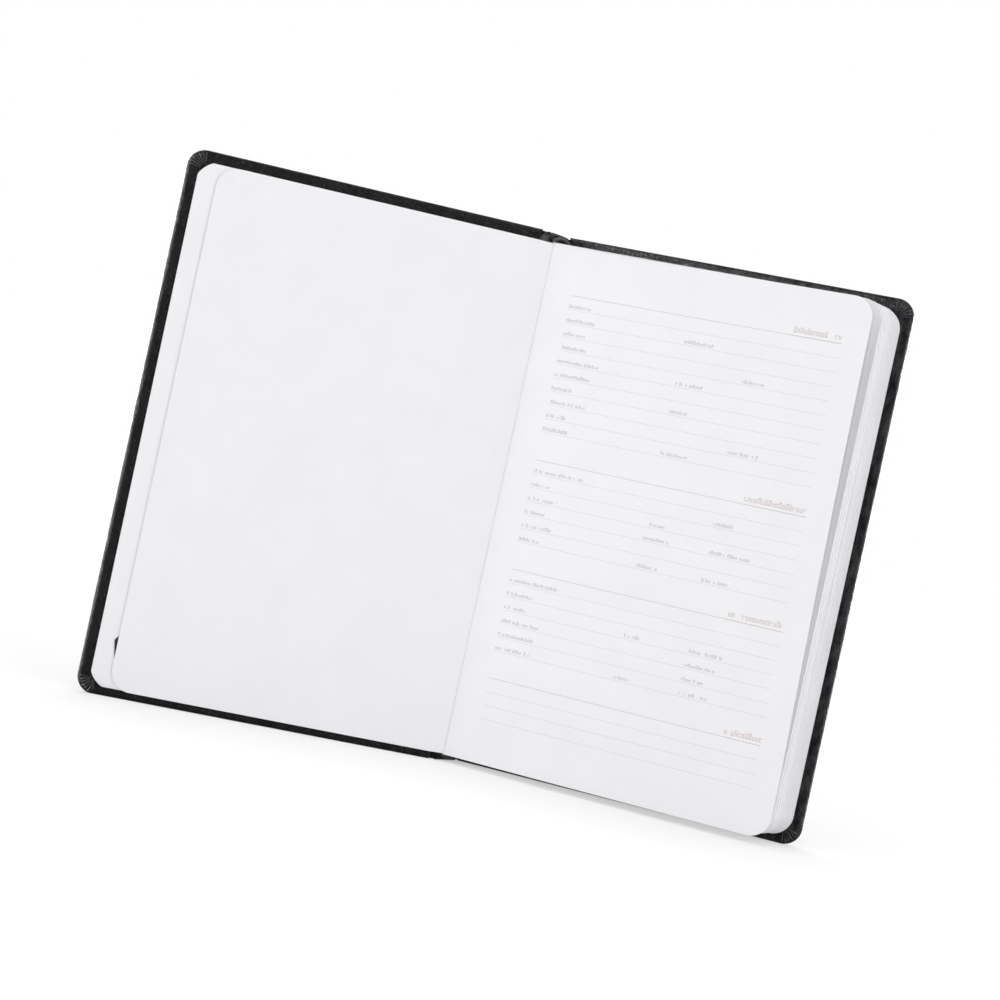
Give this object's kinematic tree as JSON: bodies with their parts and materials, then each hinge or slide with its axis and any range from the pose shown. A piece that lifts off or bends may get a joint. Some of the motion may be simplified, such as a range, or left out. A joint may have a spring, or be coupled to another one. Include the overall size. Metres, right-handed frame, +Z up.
{
  "type": "undated daily planner",
  "caption": "Case-bound pocket-size day planner with rounded corners, black covers, fanned page sections and a ribbon marker, standing open at its first printed page.",
  "frame": {"origin": "middle of the standing footprint, on the surface that the planner stands on", "axes": "+Z up along the spine, -Y towards the reader, +X towards the block of pages and the back cover"},
  "size_m": [0.2762, 0.0602, 0.207],
  "materials": {
    "leatherette": "fine grained, satin",
    "greyboard": "matt",
    "endpaper": "smooth, matt",
    "printing_paper": "uncoated, matt",
    "kraft_paper": "matt",
    "gauze": "open weave",
    "band_cloth": "woven roll",
    "sewing_thread": "twisted",
    "binding_glue": "clear film",
    "satin_ribbon": "satin weave"
  },
  "bodies": {
    "back_cover": {"back_board": "greyboard", "back_cover_skin": "leatherette", "back_gauze_flange": "gauze", "back_pastedown": "endpaper"},
    "back_flyleaf": {"back_flyleaf": "endpaper", "back_joint_skin": "leatherette"},
    "spine": {"spine_skin": "leatherette", "spine_stiffener": "greyboard", "front_joint_skin": "leatherette", "spine_liner": "kraft_paper", "ribbon_anchor": "satin_ribbon", "head_band": "band_cloth", "tail_band": "band_cloth", "spine_gauze": "gauze", "spine_glue": "binding_glue", "sewing_thread_1": "sewing_thread", "sewing_thread_2": "sewing_thread", "sewing_thread_3": "sewing_thread", "sewing_thread_4": "sewing_thread", "sewing_thread_5": "sewing_thread"},
    "front_cover": {"front_board": "greyboard", "front_cover_skin": "leatherette", "front_gauze_flange": "gauze", "front_pastedown": "endpaper", "ribbon_marker": "satin_ribbon", "front_flyleaf": "endpaper"},
    "section_01": {"section_01": "printing_paper"},
    "section_02": {"section_02": "printing_paper"},
    "section_03": {"section_03": "printing_paper"},
    "section_04": {"section_04": "printing_paper"},
    "section_05": {"section_05": "printing_paper"},
    "section_06": {"section_06": "printing_paper"},
    "section_07": {"section_07": "printing_paper"},
    "section_08": {"section_08": "printing_paper"},
    "section_09": {"section_09": "printing_paper"},
    "section_10": {"section_10": "printing_paper"},
    "section_11": {"section_11": "printing_paper"},
    "first_leaf": {"first_leaf": "printing_paper"}
  },
  "joints": [
    {"name": "back_cover_turn", "type": "hinge", "parent": "back_cover", "child": "back_flyleaf", "pos_m": [0.00414, 0.02908, 0.1035], "axis": [0, 0, 1], "range_deg": [-160, 0]},
    {"name": "spine_lean", "type": "hinge", "parent": "back_flyleaf", "child": "spine", "pos_m": [0.00414, 0.02908, 0.1035], "axis": [0, 0, 1], "range_deg": [-3.36, 18.01]},
    {"name": "front_cover_turn", "type": "hinge", "parent": "spine", "child": "front_cover", "pos_m": [-0.00414, 0.01587, 0.1035], "axis": [0, 0, 1], "range_deg": [-24.86, 133.8]},
    {"name": "section_01_turn", "type": "hinge", "parent": "spine", "child": "section_01", "pos_m": [0.0054, 0.02523, 0.1035], "axis": [0, 0, 1], "range_deg": [-18.31, 3.42]},
    {"name": "section_02_turn", "type": "hinge", "parent": "spine", "child": "section_02", "pos_m": [0.00487, 0.02438, 0.1035], "axis": [0, 0, 1], "range_deg": [-17.94, 3.35]},
    {"name": "section_03_turn", "type": "hinge", "parent": "spine", "child": "section_03", "pos_m": [0.00434, 0.02353, 0.1035], "axis": [0, 0, 1], "range_deg": [-17.57, 3.28]},
    {"name": "section_04_turn", "type": "hinge", "parent": "spine", "child": "section_04", "pos_m": [0.00381, 0.02268, 0.1035], "axis": [0, 0, 1], "range_deg": [-17.21, 3.21]},
    {"name": "section_05_turn", "type": "hinge", "parent": "spine", "child": "section_05", "pos_m": [0.00328, 0.02184, 0.1035], "axis": [0, 0, 1], "range_deg": [-16.83, 3.14]},
    {"name": "section_06_turn", "type": "hinge", "parent": "spine", "child": "section_06", "pos_m": [0.00275, 0.02099, 0.1035], "axis": [0, 0, 1], "range_deg": [-16.46, 3.07]},
    {"name": "section_07_turn", "type": "hinge", "parent": "spine", "child": "section_07", "pos_m": [0.00221, 0.02014, 0.1035], "axis": [0, 0, 1], "range_deg": [-16.1, 3]},
    {"name": "section_08_turn", "type": "hinge", "parent": "spine", "child": "section_08", "pos_m": [0.00168, 0.0193, 0.1035], "axis": [0, 0, 1], "range_deg": [-15.72, 2.93]},
    {"name": "section_09_turn", "type": "hinge", "parent": "spine", "child": "section_09", "pos_m": [0.00115, 0.01845, 0.1035], "axis": [0, 0, 1], "range_deg": [-15.35, 2.87]},
    {"name": "section_10_turn", "type": "hinge", "parent": "spine", "child": "section_10", "pos_m": [0.00062, 0.0176, 0.1035], "axis": [0, 0, 1], "range_deg": [-14.98, 2.8]},
    {"name": "section_11_turn", "type": "hinge", "parent": "spine", "child": "section_11", "pos_m": [0.00009, 0.01675, 0.1035], "axis": [0, 0, 1], "range_deg": [-14.61, 2.73]},
    {"name": "first_leaf_turn", "type": "hinge", "parent": "spine", "child": "first_leaf", "pos_m": [-0.00021, 0.01628, 0.1035], "axis": [0, 0, 1], "range_deg": [-11.41, 2.13]}
  ],
  "couplings": [
    {"joint": "spine_lean", "follows": "front_cover_turn", "ratio": 0.13453},
    {"joint": "section_01_turn", "follows": "front_cover_turn", "ratio": -0.13677},
    {"joint": "section_02_turn", "follows": "front_cover_turn", "ratio": -0.13401},
    {"joint": "section_03_turn", "follows": "front_cover_turn", "ratio": -0.13124},
    {"joint": "section_04_turn", "follows": "front_cover_turn", "ratio": -0.12848},
    {"joint": "section_05_turn", "follows": "front_cover_turn", "ratio": -0.12571},
    {"joint": "section_06_turn", "follows": "front_cover_turn", "ratio": -0.12294},
    {"joint": "section_07_turn", "follows": "front_cover_turn", "ratio": -0.12018},
    {"joint": "section_08_turn", "follows": "front_cover_turn", "ratio": -0.11741},
    {"joint": "section_09_turn", "follows": "front_cover_turn", "ratio": -0.11465},
    {"joint": "section_10_turn", "follows": "front_cover_turn", "ratio": -0.11188},
    {"joint": "section_11_turn", "follows": "front_cover_turn", "ratio": -0.10912},
    {"joint": "first_leaf_turn", "follows": "front_cover_turn", "ratio": -0.085202}
  ]
}
